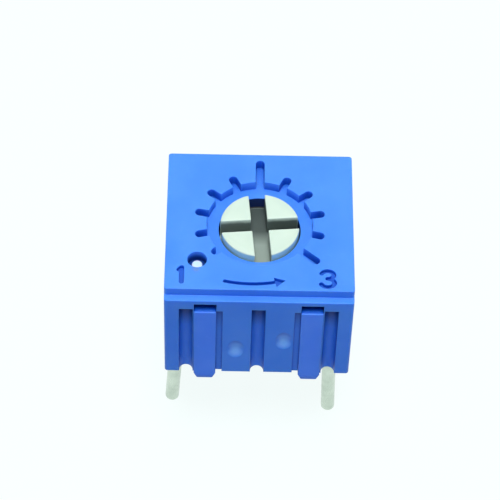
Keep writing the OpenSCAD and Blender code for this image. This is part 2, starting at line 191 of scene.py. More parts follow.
def solid(name, points, faces):
    """Mesh object from points and faces."""
    mesh = bpy.data.meshes.new(name)
    mesh.from_pydata([tuple(p) for p in points], [], faces)
    mesh.update()
    return link(bpy.data.objects.new(name, mesh))


def loft(name, rings):
    """Closed solid through rings of equally many points, from the lowest ring to the highest."""
    n = len(rings[0])
    points = [p for ring in rings for p in ring]
    faces = [list(range(n))[::-1], [(len(rings) - 1) * n + i for i in range(n)]]
    for k in range(len(rings) - 1):
        for i in range(n):
            j = (i + 1) % n
            faces.append([k * n + i, k * n + j, (k + 1) * n + j, (k + 1) * n + i])
    return solid(name, points, faces)


def prism(name, outline, z0, z1):
    """Upright prism over an outline that runs anticlockwise."""
    return loft(name, [[(x, y, z) for x, y in outline] for z in (z0, z1)])


def block(name, x0, x1, y0, y1, z0, z1):
    return prism(name, [(x0, y0), (x1, y0), (x1, y1), (x0, y1)], z0, z1)


def circle(r, n, x=0.0, y=0.0):
    return [(x + r * cos(2 * pi * i / n), y + r * sin(2 * pi * i / n)) for i in range(n)]


def lathe(name, profile, n, x=0.0, y=0.0):
    """Solid of revolution about an upright axis. The profile is [radius, height], upwards, off the axis."""
    return loft(name, [[(px, py, z) for px, py in circle(r, n, x, y)] for r, z in profile])


def quarter_round(r, steps):
    """Steps of a rounded edge, as distances from its two faces: one falls to 0 as the other grows to r."""
    turns = [pi / 2 * k / steps for k in range(steps + 1)]
    return [(r * (1 - sin(a)), r * (1 - cos(a))) for a in turns]


def outward(obj):
    """Makes all faces of a closed solid point outwards."""
    bm = bmesh.new()
    bm.from_mesh(obj.data)
    bmesh.ops.recalc_face_normals(bm, faces=bm.faces)
    bm.to_mesh(obj.data)
    bm.free()
    return obj


def apply_modifiers(obj):
    view = bpy.context.evaluated_depsgraph_get()
    mesh = bpy.data.meshes.new_from_object(obj.evaluated_get(view))
    obj.modifiers.clear()
    obj.data = mesh
    return obj


def combine(obj, others, operation):
    """Cuts other solids out of obj, or joins them to it."""
    for other in others:
        modifier = obj.modifiers.new("combine", "BOOLEAN")
        modifier.operation = operation
        modifier.solver = "EXACT"
        modifier.object = other
    bpy.context.view_layer.update()
    apply_modifiers(obj)
    for other in others:
        bpy.data.objects.remove(other)
    return obj


def round_edges(obj, width, sharper_than=40):
    """Merges doubled points, then rounds the outward edges that are sharper than an angle in degrees."""
    bm = bmesh.new()
    bm.from_mesh(obj.data)
    bmesh.ops.remove_doubles(bm, verts=bm.verts, dist=sliver)
    bmesh.ops.dissolve_degenerate(bm, dist=sliver, edges=bm.edges)
    edges = [e for e in bm.edges if len(e.link_faces) == 2 and e.is_convex
             and e.calc_face_angle(0) > radians(sharper_than)]
    bmesh.ops.bevel(bm, geom=edges, offset=width, offset_type="OFFSET", segments=3, profile=0.5,
                    affect="EDGES", clamp_overlap=False, miter_outer="SHARP", miter_inner="SHARP")
    bmesh.ops.remove_doubles(bm, verts=bm.verts, dist=0.0002)
    bmesh.ops.triangulate(bm, faces=[f for f in bm.faces if len(f.verts) > 4], ngon_method="BEAUTY")
    bm.to_mesh(obj.data)
    bm.free()
    return obj


def shade(obj):
    """Smooth shading that keeps flat faces flat, and corners over the smooth angle sharp."""
    mesh = obj.data
    mesh.shade_smooth()
    mesh.set_sharp_from_angle(angle=radians(smooth_angle))
    modifier = obj.modifiers.new("flat faces", "WEIGHTED_NORMAL")
    modifier.keep_sharp = True
    modifier.weight = 80
    return obj


def place(obj, node, body, slot):
    """Scales a piece to metres, gives it its body and material, and hides the solid of its node."""
    obj.data.transform(Matrix.Scale(MM, 4))
    obj.data.update()
    obj.data.materials.clear()
    obj.data.materials.append(made[slot])
    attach(obj, body)
    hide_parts(node)
    return obj


# Node trees of the materials

class Tree:
    """Short way to write a material's nodes."""

    def __init__(self, name):
        self.material = bpy.data.materials.new(name)
        self.material.use_nodes = True
        self.nodes = self.material.node_tree.nodes
        self.links = self.material.node_tree.links
        self.shader = self.nodes["Principled BSDF"]
        self.place = self.add("ShaderNodeTexCoord").outputs["Object"]

    def add(self, kind, **settings):
        node = self.nodes.new(kind)
        for key, value in settings.items():
            setattr(node, key, value)
        return node

    def put(self, socket, value):
        """Sets an input to a number or colour, or links it to an output."""
        if isinstance(value, bpy.types.NodeSocket):
            self.links.new(value, socket)
        else:
            socket.default_value = value

    def noise(self, size_mm, detail=3.0, roughness=0.55, stretch=(1, 1, 1)):
        """Noise whose blobs are about size_mm across, from 0 to 1."""
        mapping = self.add("ShaderNodeMapping")
        self.put(mapping.inputs["Vector"], self.place)
        mapping.inputs["Scale"].default_value = [s / (MM * size_mm) for s in stretch]
        texture = self.add("ShaderNodeTexNoise")
        self.put(texture.inputs["Vector"], mapping.outputs["Vector"])
        texture.inputs["Scale"].default_value = 1.0
        texture.inputs["Detail"].default_value = detail
        texture.inputs["Roughness"].default_value = roughness
        return texture.outputs["Fac"]

    def ramp(self, value, low, high, out_low, out_high):
        node = self.add("ShaderNodeMapRange", clamp=True)
        for name, x in (("Value", value), ("From Min", low), ("From Max", high),
                        ("To Min", out_low), ("To Max", out_high)):
            self.put(node.inputs[name], x)
        return node.outputs["Result"]

    def ramp_mm(self, length, low, high, out_low, out_high):
        """Ramp over a length in metres, between two lengths in millimetres."""
        return self.ramp(length, low * MM, high * MM, out_low, out_high)

    def mix(self, factor, a, b):
        node = self.add("ShaderNodeMix", data_type="RGBA", blend_type="MIX")
        self.put(node.inputs[0], factor)
        self.put(node.inputs[6], a)
        self.put(node.inputs[7], b)
        return node.outputs[2]

    def math(self, operation, a, b=0.0):
        node = self.add("ShaderNodeMath", operation=operation)
        self.put(node.inputs[0], a)
        self.put(node.inputs[1], b)
        return node.outputs[0]

    def split(self, vector):
        """The X, Y and Z of a vector."""
        node = self.add("ShaderNodeSeparateXYZ")
        self.put(node.inputs[0], vector)
        return node.outputs

    def bump(self, height, depth_mm, strength=1.0, under=None):
        node = self.add("ShaderNodeBump")
        self.put(node.inputs["Height"], height)
        node.inputs["Distance"].default_value = depth_mm * MM
        node.inputs["Strength"].default_value = strength
        if under is not None:
            self.put(node.inputs["Normal"], under)
        return node.outputs["Normal"]

    def openness(self, reach_mm):
        """From 0 deep in corners and recesses to 1 on open faces."""
        node = self.add("ShaderNodeAmbientOcclusion", samples=6)
        node.inputs["Distance"].default_value = reach_mm * MM
        return node.outputs["AO"]

    def band(self, length, low, high, soft):
        """1 where a length in metres lies between two lengths in millimetres, soft at both ends."""
        rise = self.ramp_mm(length, low - soft, low, 0.0, 1.0)
        return self.math("MULTIPLY", rise, self.ramp_mm(length, high, high + soft, 1.0, 0.0))

    def near(self, place, radius, soft):
        """1 within a radius of a place, falling to 0 over a soft edge. All in millimetres."""
        away = self.add("ShaderNodeVectorMath", operation="DISTANCE")
        self.put(away.inputs[0], self.place)
        away.inputs[1].default_value = [x * MM for x in place]
        return self.ramp_mm(away.outputs["Value"], radius, radius + soft, 1.0, 0.0)

    def finish(self, colour, roughness, normal=None, **inputs):
        self.put(self.shader.inputs["Base Color"], colour)
        self.put(self.shader.inputs["Roughness"], roughness)
        if normal is not None:
            self.put(self.shader.inputs["Normal"], normal)
        for name, value in inputs.items():
            self.put(self.shader.inputs[name.replace("_", " ")], value)
        return self.material


def linear(r, g, b):
    """Colour written as 0 to 255 on screen, as Blender's linear numbers."""
    def one(c):
        c = c / 255
        return c / 12.92 if c <= 0.04045 else ((c + 0.055) / 1.055) ** 2.4
    return (one(r), one(g), one(b), 1.0)


def off_axis(t, parts):
    """Distance from the upright axis, in metres."""
    across = t.math("MULTIPLY", parts["X"], parts["X"])
    along = t.math("MULTIPLY", parts["Y"], parts["Y"])
    return t.math("SQRT", t.math("ADD", across, along))


def recess_shade(t, parts):
    """1 where painted shade goes in the housing's recesses: the closed tops of those in its walls, and the
    bore.
    """
    middle, half = (front_y + back_y) / 2, (back_y - front_y) / 2
    from_middle = t.math("ABSOLUTE", t.math("SUBTRACT", parts["Y"], middle * MM))
    inside = t.ramp_mm(from_middle, half - 0.16, half - 0.02, 1.0, 0.0)
    dark_from_z, dark_to_z, strength = 2.75, 3.75, 0.72
    upwards = t.ramp_mm(parts["Z"], dark_from_z, dark_to_z, 0.0, 1.0)
    tops = t.math("MULTIPLY", t.math("MULTIPLY", inside, upwards), strength)
    under_ledge = t.band(parts["Z"], 0.0, ledge_z - 0.16, 0.03)
    dial_z = top_z - dial_depth
    within = t.ramp_mm(off_axis(t, parts), hole_r + 0.02, hole_r + 0.05, 0.92, 0.0)
    under_dial = t.ramp_mm(parts["Z"], dial_z - 0.04, dial_z - 0.01, 1.0, 0.0)
    bore = t.math("MULTIPLY", within, under_dial)
    return t.math("MAXIMUM", t.math("MULTIPLY", tops, under_ledge), bore)


def mark_floors(t, parts, upward):
    """1 on the flat floors of the engraved marks, where painted shade goes."""
    flat = t.ramp(upward, 0.8, 0.95, 0.0, 1.0)
    at_floor = t.band(parts["Z"], mark_z - 0.01, mark_z + 0.01, 0.01)
    return t.math("MULTIPLY", at_floor, flat)


def moulded_plastic(name, colour, deeper, hollow_from, hollow_to, shaded=False, spots=()):
    """Moulded plastic: cloudy colour, painted shade in hollows and on steep faces in them, a fine eroded
    grain and faint flow waves. The painted shade deepens from one openness to another, and shaded adds
    painted shade in the housing's recesses and on the engraved marks' floors. A spot is given as its place,
    radius, soft edge, strength and colour."""
    t = Tree(name)
    cloud = t.ramp(t.noise(2.2, 2.0), 0.35, 0.7, 0.0, 1.0)
    shade_of = t.mix(cloud, colour, deeper)
    speck = t.ramp(t.noise(0.16, 2.0, 0.7), 0.62, 0.78, 0.0, 0.3)
    shade_of = t.mix(speck, shade_of, [min(1.0, c * 1.3) for c in colour[:3]] + [1.0])
    parts = t.split(t.place)
    upward = t.split(t.add("ShaderNodeTexCoord").outputs["Normal"])["Z"]
    openness = t.openness(0.6)
    # Painted shade: steep faces darken as they get less open, all faces darken in hollows, the deepest
    # corners most
    steep = t.ramp(t.math("ABSOLUTE", upward), 0.3, 0.8, 1.0, 0.0)
    walls = t.math("MULTIPLY", steep, t.ramp(openness, 0.35, 0.85, 1.0, 0.0))
    hollow_shade = t.math("MAXIMUM", walls, t.ramp(openness, hollow_to, hollow_from, 1.0, 0.0))
    shade_of = t.mix(hollow_shade, shade_of, linear(10, 80, 188))
    deepest_shade = t.ramp(openness, 0.04, 0.16, 1.0, 0.0)
    shade_of = t.mix(deepest_shade, shade_of, linear(10, 30, 96))
    if shaded:
        # Painted shade in the recesses' closed tops and in the bore
        shade_of = t.mix(recess_shade(t, parts), shade_of, linear(8, 22, 66))
        # Painted shade on the flat floors of the engraved marks
        floors = t.math("MULTIPLY", mark_floors(t, parts, upward), 0.75)
        shade_of = t.mix(floors, shade_of, linear(20, 74, 180))
    for place, radius, soft, strength, spot_colour in spots:
        amount = t.math("MULTIPLY", t.near(place, radius, soft), strength)
        shade_of = t.mix(amount, shade_of, spot_colour)
    rough = t.ramp(t.noise(0.6, 3.0), 0.3, 0.75, 0.37, 0.5)
    grain = t.noise(0.045, 2.0, 0.6)
    waves = t.noise(1.1, 3.0, 0.5, stretch=(1, 0.4, 1))
    normal = t.bump(grain, 0.003, 0.5, t.bump(waves, 0.012, 0.3))
    t.shader.inputs["Subsurface Scale"].default_value = 0.6 * MM
    return t.finish(shade_of, rough, normal, Specular_IOR_Level=0.18, Subsurface_Weight=0.3,
                    Subsurface_Radius=(0.08, 0.3, 1.0))


def blue_plastic():
    """The housing's plastic: painted shade in the gate's recess, the gate's broken nub whitened, a grey spot
    south of the gate, and painted highlights in the two dimples.
    """
    floor_z = top_z - gate_depth
    # Painted shade in the gate's recess
    gate_shade = ((gate_x, gate_y, floor_z), gate_r + 0.02, 0.1, 0.7, linear(14, 34, 92))
    broken = ((gate_x, gate_y, floor_z + nub_h), nub_r - 0.04, 0.04, 1.0, linear(202, 226, 252))
    # A grey spot on the top face just south of the gate's rim
    grey_spot = ((gate_x - 0.03, gate_y - gate_r - 0.07, top_z), 0.08, 0.1, 0.6, linear(96, 124, 160))
    spots = [gate_shade, broken, grey_spot]
    # Painted highlights in each dimple, one above and one below its middle
    for x, z in dimple_places:
        for rise, soft, strength in ((0.12, 0.18, 0.4), (-0.2, 0.2, 0.6)):
            middle = (x, front_y + dimple_depth, z + rise)
            spots.append((middle, 0.1, soft, strength, linear(146, 200, 252)))
    return moulded_plastic("blue_plastic", linear(74, 136, 228), linear(64, 127, 223),
                           hollow_from=0.36, hollow_to=0.22, shaded=True, spots=spots)


def blue_base_plastic():
    """The base's plastic, lighter than the housing's."""
    # Painted shade in the base's hollows, deepening from openness 0.72 down to 0.5
    return moulded_plastic("blue_base_plastic", linear(83, 139, 246), linear(73, 130, 240),
                           hollow_from=0.72, hollow_to=0.5)


def cream_plastic():
    """Cream plastic, with painted shade down in the driver slots and painted blue bounce light round the
    head's outer side.
    """
    t = Tree("cream_plastic")
    cloud = t.ramp(t.noise(1.4, 3.0), 0.3, 0.7, 0.0, 1.0)
    colour = t.mix(cloud, linear(197, 212, 193), linear(190, 207, 188))
    parts = t.split(t.place)
    from_axis = off_axis(t, parts)
    slot_floor_z = head_z - slot_depth
    # Painted shade down in the driver slots: darkest on their floors and towards their back ends
    uneven = t.math("MULTIPLY", t.math("SUBTRACT", t.noise(0.35, 3.0), 0.5), 0.12 * MM)
    height = t.math("ADD", parts["Z"], uneven)
    below_face = t.ramp_mm(height, head_z - 0.2, head_z - 0.03, 1.0, 0.0)
    on_floor = t.ramp_mm(height, slot_floor_z + 0.1, slot_floor_z + 0.3, 1.0, 0.0)
    slot_shade = t.mix(on_floor, linear(60, 73, 68), linear(32, 43, 44))
    along = t.ramp_mm(parts["Y"], -0.3, 0.3, 0.0, 1.0)
    slot_shade = t.mix(along, linear(126, 139, 129), slot_shade)
    in_slot = t.ramp_mm(from_axis, head_r - 0.03, head_r - 0.01, 0.92, 0.0)
    colour = t.mix(t.math("MULTIPLY", below_face, in_slot), colour, slot_shade)
    # Painted blue bounce light from the housing on the head's outer side
    outer = t.ramp_mm(from_axis, head_r - 0.012, head_r - 0.002, 0.0, 0.6)
    blue_bounce = t.math("MULTIPLY", outer, t.band(parts["Z"], flange_top_z + 0.05, head_z - 0.06, 0.03))
    colour = t.mix(blue_bounce, colour, linear(138, 207, 217))
    normal = t.bump(t.noise(0.05, 2.0, 0.6), 0.003, 0.5, t.bump(t.noise(0.8, 2.0), 0.01, 0.3))
    rough = t.ramp(t.noise(0.5, 3.0), 0.3, 0.75, 0.36, 0.5)
    t.shader.inputs["Subsurface Scale"].default_value = 0.2 * MM
    return t.finish(colour, rough, normal, Specular_IOR_Level=0.35, Subsurface_Weight=0.1,
                    Subsurface_Radius=(1.0, 0.9, 0.6))


def tinned_wire():
    t = Tree("tinned_wire")
    streaks = t.noise(0.12, 3.0, 0.6, stretch=(1, 1, 0.12))
    cloud = t.ramp(t.noise(0.5, 3.0), 0.35, 0.7, 0.0, 1.0)
    colour = t.mix(cloud, linear(208, 220, 206), linear(190, 203, 189))
    rough = t.ramp(streaks, 0.3, 0.8, 0.24, 0.42)
    return t.finish(colour, rough, t.bump(streaks, 0.004, 0.4), Metallic=1.0)


def solder():
    t = Tree("solder")
    cloud = t.ramp(t.noise(0.2, 3.0), 0.35, 0.7, 0.0, 1.0)
    colour = t.mix(cloud, linear(206, 208, 210), linear(184, 187, 190))
    return t.finish(colour, 0.3, t.bump(t.noise(0.08), 0.004, 0.4), Metallic=1.0)


def resin():
    t = Tree("resin")
    cloud = t.ramp(t.noise(0.9, 3.0), 0.35, 0.7, 0.0, 1.0)
    colour = t.mix(cloud, linear(104, 96, 70), linear(90, 84, 62))
    return t.finish(colour, 0.25, t.bump(t.noise(0.5, 2.0), 0.02, 0.4), Coat_Weight=0.3)


def seal_rubber():
    t = Tree("seal_rubber")
    colour = t.mix(t.noise(0.3), linear(44, 44, 46), linear(58, 58, 60))
    return t.finish(colour, 0.6, t.bump(t.noise(0.05), 0.003, 0.5))


def spring_alloy():
    t = Tree("spring_alloy")
    grain = t.noise(0.06, 2.0, 0.6, stretch=(0.1, 1, 1))
    colour = t.mix(grain, linear(226, 194, 128), linear(206, 172, 108))
    return t.finish(colour, 0.3, t.bump(grain, 0.002, 0.4), Metallic=1.0)


def ceramic():
    t = Tree("ceramic")
    colour = t.mix(t.noise(0.25), linear(240, 238, 230), linear(226, 225, 218))
    return t.finish(colour, 0.5, t.bump(t.noise(0.04, 2.0), 0.003, 0.6))


def resistive_film():
    t = Tree("resistive_film")
    colour = t.mix(t.noise(0.05, 3.0), linear(38, 38, 42), linear(62, 62, 66))
    return t.finish(colour, 0.55, t.bump(t.noise(0.03, 2.0), 0.003, 0.7))


def conductor_film():
    t = Tree("conductor_film")
    colour = t.mix(t.noise(0.06, 3.0), linear(200, 198, 190), linear(172, 170, 162))
    return t.finish(colour, 0.42, t.bump(t.noise(0.03, 2.0), 0.003, 0.6), Metallic=1.0)


# Each material by the name of its slot
made = {make.__name__: make() for make in (
    blue_plastic, cream_plastic, tinned_wire, solder, resin, seal_rubber, spring_alloy,
    ceramic, resistive_film, conductor_film, blue_base_plastic)}


# Housing

def rect_ring(x1, y0, y1, r, z, arc=6):
    """Level ring of points round a rectangle with rounded corners, anticlockwise."""
    ring = []
    corners = ((x1 - r, y0 + r, -90), (x1 - r, y1 - r, 0), (r - x1, y1 - r, 90), (r - x1, y0 + r, 180))
    for cx, cy, start in corners:
        for i in range(arc + 1):
            a = radians(start + 90 * i / arc)
            ring.append((cx + r * cos(a), cy + r * sin(a), z))
    return ring


def body_shell():
    """Outside of the moulding: the main block, the ledge and the narrower block on top, with round edges."""
    def level(x_inset, y_inset, z):
        return rect_ring(half_w - x_inset, front_y + y_inset, back_y - y_inset, corner_r, z)
    edge = quarter_round(edge_r, edge_steps)
    foot = quarter_round(step_foot_r, edge_steps)
    rings = [level(a, a, wall_z + b) for a, b in edge]
    rings += [level(0, b, ledge_z - a) for a, b in edge]
    rings += [level(0, ledge_w - a, ledge_z + ring_gap + b) for a, b in foot]
    rings += [level(b, ledge_w + b, top_z - a) for a, b in edge]
    return loft("housing_shell", rings)


def arc_points(x, y, r, a0, a1, step):
    n = max(2, ceil(abs(a1 - a0) / step))
    return [(x + r * cos(radians(a0 + (a1 - a0) * i / n)), y + r * sin(radians(a0 + (a1 - a0) * i / n)))
            for i in range(n + 1)]


def dial_outline(wider=0.0):
    """Outline of the round recess with its notches, anticlockwise, widened all round."""
    half = notch_w / 2 + wider
    r = dial_r + wider
    spread = degrees(asin(half / r))
    gap = travel / (notch_count - 1)
    between_steps, open_side_steps = 5, 22
    points = []
    for i in range(notch_count):
        angle = 90 - travel / 2 + i * gap
        reach = {0: end_notch_reach, (notch_count - 1) // 2: long_notch_reach,
                 notch_count - 1: short_notch_reach}.get(i, notch_reach)
        end = reach - notch_w / 2
        ex, ey = end * cos(radians(angle)), end * sin(radians(angle))
        points += arc_points(0, 0, r, angle - spread, angle - spread, 1)[:1]
        points += arc_points(ex, ey, half, angle - 90, angle + 90, 12)
        next_angle = angle + gap if i < notch_count - 1 else 90 - travel / 2 + 360
        steps = between_steps if i < notch_count - 1 else open_side_steps
        first, last = angle + spread, next_angle - spread
        points += [(r * cos(radians(first + (last - first) * k / steps)),
                    r * sin(radians(first + (last - first) * k / steps))) for k in range(steps)]
    return points


def lipped(name, outline_at, z0, z1):
    """Upright cutter with a rounded rim where it leaves the surface at z1. outline_at takes the widening."""
    levels = [(z0, 0.0)]
    levels += [(z1 - down, wider) for down, wider in quarter_round(lip_r, lip_steps)]
    levels.append((z1 + cut, lip_r))
    return loft(name, [[(x, y, z) for x, y in outline_at(wider)] for z, wider in levels])


def stroke_outline(path, half):
    """Outline of a stroke along a path, with round ends."""
    n = len(path)
    left, right = [], []
    for i in range(n):
        a, b = path[max(0, i - 1)], path[min(n - 1, i + 1)]
        dx, dy = b[0] - a[0], b[1] - a[1]
        size = hypot(dx, dy)
        left.append((path[i][0] - dy / size * half, path[i][1] + dx / size * half))
        right.append((path[i][0] + dy / size * half, path[i][1] - dx / size * half))
    first = degrees(atan2(path[1][1] - path[0][1], path[1][0] - path[0][0]))
    last = degrees(atan2(path[-1][1] - path[-2][1], path[-1][0] - path[-2][0]))
    far_end = arc_points(path[-1][0], path[-1][1], half, last - 90, last + 90, 30)[1:-1]
    near_end = arc_points(path[0][0], path[0][1], half, first + 90, first + 270, 30)[1:-1]
    return right + far_end + left[::-1] + near_end


def stroke(name, path, width, z0):
    """Engraved stroke along a path."""
    return lipped(name, lambda wider: stroke_outline(path, width / 2 + wider), z0, top_z)


def digit_one(x, y, height):
    """Upright stroke with a short flag at its top."""
    reach = height / 2 - mark_w / 2
    top = (x, y + reach)
    flag = [(x - 0.1, top[1] - 0.11), (x - 0.03, top[1] - 0.02), top]
    stem = [(x, y - reach), (x, y), top]
    return [stroke("one_flag", flag, mark_w, mark_z), stroke("one_stem", stem, mark_w, mark_z - stagger)]


def digit_three(x, y, height):
    """Two wide bowls, the lower one larger, that meet at the middle."""
    spread = 1.3
    reach = height - mark_w
    upper_r, lower_r = reach * 0.24, reach * 0.26

    def bowl(middle_y, r, first, last):
        return [(x + (px - x) * spread, py) for px, py in arc_points(x, middle_y, r, first, last, 15)]
    upper = bowl(y + reach / 2 - upper_r, upper_r, 160, -90)
    lower = bowl(y - reach / 2 + lower_r, lower_r, 90, -160)
    return [stroke("three_upper", upper, mark_w, mark_z),
            stroke("three_lower", lower, mark_w, mark_z - stagger)]


def turn_arrow(x, y):
    """Flat arc with an arrowhead, the generic sign of the turning direction."""
    arc_r = 4.0
    half_arc = 13
    tip_reach, barb_back, barb_half = 0.3, 0.06, 0.21
    path = arc_points(x, y + arc_r, arc_r, 270 - half_arc, 270 + half_arc, 2)
    tip = path[-1]
    heading = radians(half_arc)

    def turned(along, across):
        return (tip[0] + along * cos(heading) - across * sin(heading),
                tip[1] + along * sin(heading) + across * cos(heading))

    def head(wider):
        back, half = -barb_back - wider, barb_half + 1.5 * wider
        return [turned(tip_reach + 2 * wider, 0), turned(back, half), turned(back, -half)]
    return [stroke("arrow_arc", path, arrow_w, mark_z),
            lipped("arrow_head", head, mark_z - stagger, top_z)]


def gate_cutter():
    """Round recess in which the broken gate stays standing."""
    floor_z = top_z - gate_depth
    nub_z = floor_z + nub_h
    profile = [(nub_r - nub_edge, nub_z), (nub_r, nub_z - nub_edge), (nub_r, floor_z), (gate_r, floor_z)]
    profile += [(gate_r + wider, top_z - down) for down, wider in quarter_round(lip_r, lip_steps)]
    profile.append((gate_r + lip_r, top_z + cut))
    return lathe("gate", profile, 64, gate_x, gate_y)


def groove_outline(x, face_y, inwards):
    """Round-bottomed groove in plan, with rounded lips where it meets the face."""
    points = [(groove_r + side_lip_r, -cut)]
    points += [(groove_r + wider, deep) for wider, deep in quarter_round(side_lip_r, 3)]
    straight = groove_depth - groove_r
    points += [(groove_r * cos(radians(a)), straight + groove_r * sin(radians(a))) for a in range(0, 90, 6)]
    points = points + [(0, groove_depth)] + [(-px, py) for px, py in reversed(points)]
    outline = [(x + px, face_y + inwards * py) for px, py in points]
    return outline if inwards > 0 else outline[::-1]


def face_block(name, x0, x1, face_y, inwards, depth, z0, z1, lips):
    """Cutter that goes into a face, with rounded lips on the sides named: left, right or top."""
    rings = []
    for y, wider in [(depth, 0.0)] + quarter_round(side_lip_r, lip_steps) + [(-cut, side_lip_r)]:
        left = x0 - (wider if "left" in lips else 0)
        right = x1 + (wider if "right" in lips else 0)
        top = z1 + (wider if "top" in lips else 0)
        py = face_y + inwards * y
        rings.append([(left, py, z0), (right, py, z0), (right, py, top), (left, py, top)])
    if inwards < 0:
        rings = rings[::-1]
    return outward(loft(name, rings))


def side_cutters(front):
    """Grooves and leg channels of the front face, or of the back face."""
    face_y = front_y if front else back_y
    inwards = 1 if front else -1
    groove_top_z = top_z - groove_drop
    cutters = []
    for x in (-lead_pitch, 0, lead_pitch):
        outline = groove_outline(x, face_y, inwards)
        cutters.append(outward(prism("groove", outline, wall_z - cut, groove_top_z)))
    for side in (-1, 1):
        near, far = leg_x - leg_w / 2, leg_x + leg_w / 2
        inner_side = "right" if side < 0 else "left"
        x0, x1 = sorted((side * near, side * far))
        cutters.append(face_block("channel", x0, x1, face_y, inwards, channel_depth,
                                  wall_z - cut, leg_top_z + pocket_h, ["top", inner_side]))
        cutters.append(face_block("tab_notch", x0, x1, face_y, inwards, end_wall_t + cut,
                                  wall_z - 1.1 * cut, base_top_z, []))
        x0, x1 = sorted((side * (near - channel_gap), side * leg_x))
        cutters.append(face_block("beside_leg", x0, x1, face_y, inwards, gap_depth,
                                  wall_z - 1.2 * cut, leg_top_z, ["top", inner_side]))
    return cutters


def dimple_cutters():
    """Shallow round cutters for the dimples, stretched upright."""
    curve_r = (dimple_r ** 2 + dimple_depth ** 2) / (2 * dimple_depth)
    cutters = []
    for x, z in dimple_places:
        bm = bmesh.new()
        bmesh.ops.create_uvsphere(bm, u_segments=96, v_segments=64, radius=curve_r)
        bmesh.ops.rotate(bm, verts=bm.verts, matrix=Matrix.Rotation(pi / 2, 3, "X"))
        bmesh.ops.scale(bm, verts=bm.verts, vec=(1, 1, dimple_half_h / dimple_r))
        bmesh.ops.translate(bm, verts=bm.verts, vec=(x, front_y + dimple_depth - curve_r, z))
        mesh = bpy.data.meshes.new("dimple")
        bm.to_mesh(mesh)
        bm.free()
        cutters.append(link(bpy.data.objects.new("dimple", mesh)))
    return cutters


def sharpen_dimple_rims(mesh):
    """Keeps the rims of the dimples sharp, which are flatter than the other corners."""
    bm = bmesh.new()
    bm.from_mesh(mesh)
    margin = 0.1
    for edge in bm.edges:
        if len(edge.link_faces) != 2 or edge.calc_face_angle() <= radians(dimple_rim_angle):
            continue
        middle = (edge.verts[0].co + edge.verts[1].co) / 2
        for x, z in dimple_places:
            beside = abs(middle.x - x) < dimple_r + margin and abs(middle.z - z) < dimple_half_h + margin
            if beside and middle.y < front_y + dimple_depth + 0.01:
                edge.smooth = False
    bm.to_mesh(mesh)
    bm.free()


def housing():
    shell = body_shell()
    cutters = [
        block("cave", -cave_x, cave_x, cave_front, cave_back, wall_z - cut, plate_z),
        prism("rotor_hole", circle(hole_r, 128), plate_z - cut, top_z + cut),
        lipped("dial", dial_outline, top_z - dial_depth, top_z),
        gate_cutter(),
    ]
    cutters += side_cutters(True) + side_cutters(False) + dimple_cutters()
    cutters += digit_one(x=-2.705, y=-2.34, height=0.8)
    cutters += digit_three(x=2.36, y=-2.43, height=0.86)
    cutters += turn_arrow(x=-0.3, y=-2.7)
    combine(shell, cutters, "DIFFERENCE")
    shell.name = "housing_shell"
    shade(shell)
    sharpen_dimple_rims(shell.data)
    return place(shell, "housing", "case", "blue_plastic")


# Base with its four legs

def leg(x, front):
    """One leg, an upright bar with two chamfered corners at its foot, and its tab to the plate."""
    face_y = front_y - leg_proud if front else back_y + leg_proud
    inner_y = front_y + channel_depth if front else back_y - channel_depth
    low, high = sorted((face_y, inner_y))
    h, c = leg_w / 2, foot_chamfer
    outline = [(c - h, 0), (h - c, 0), (h, foot_taper_h),
               (h, leg_top_z), (-h, leg_top_z), (-h, foot_taper_h)]
    n = len(outline)
    sides = [[i, i + n, (i + 1) % n + n, (i + 1) % n] for i in range(n)]
    bar = solid("leg", [(x + px, y, pz) for y in (low, high) for px, pz in outline],
                [list(range(n)), list(range(n, 2 * n))[::-1]] + sides)
    reach = end_wall_t + 2 * fit_gap
    start = channel_depth - leg_proud
    ys = (front_y + start, front_y + reach) if front else (back_y - reach, back_y - start)
    tab = block("tab", x - h + sliver, x + h - sliver, ys[0], ys[1], base_z, base_top_z)
    return [bar, tab]


def lead_hole_cutters(z0, z1):
    """Round hole for the back lead, and holes open to the side for the two front leads."""
    cutters = [prism("hole_2", circle(lead_hole_r, 48, 0, lead_row_y), z0, z1)]
    for side in (-1, 1):
        cutters.append(prism("hole", circle(lead_hole_r, 48, side * lead_pitch, -lead_row_y), z0, z1))
        xs = sorted((side * lead_pitch, side * (cave_x + cut)))
        cutters.append(block("notch", xs[0], xs[1], -lead_row_y - lead_hole_r, -lead_row_y + lead_hole_r,
                             z0 - 0.01, z1 + 0.01))
    return cutters


def base():
    plate = block("base_plate", fit_gap - cave_x, cave_x - fit_gap,
                  cave_front + fit_gap, cave_back - fit_gap, base_z, base_top_z)
    pieces = []
    for x in (-leg_x, leg_x):
        pieces += leg(x, True) + leg(x, False)
    combine(plate, pieces, "UNION")
    combine(plate, lead_hole_cutters(base_z - cut, base_top_z + cut), "DIFFERENCE")
    round_edges(plate, edge_r)
    plate.name = "base_with_legs"
    shade(plate)
    return place(plate, "base", "case", "blue_base_plastic")


# Rotor

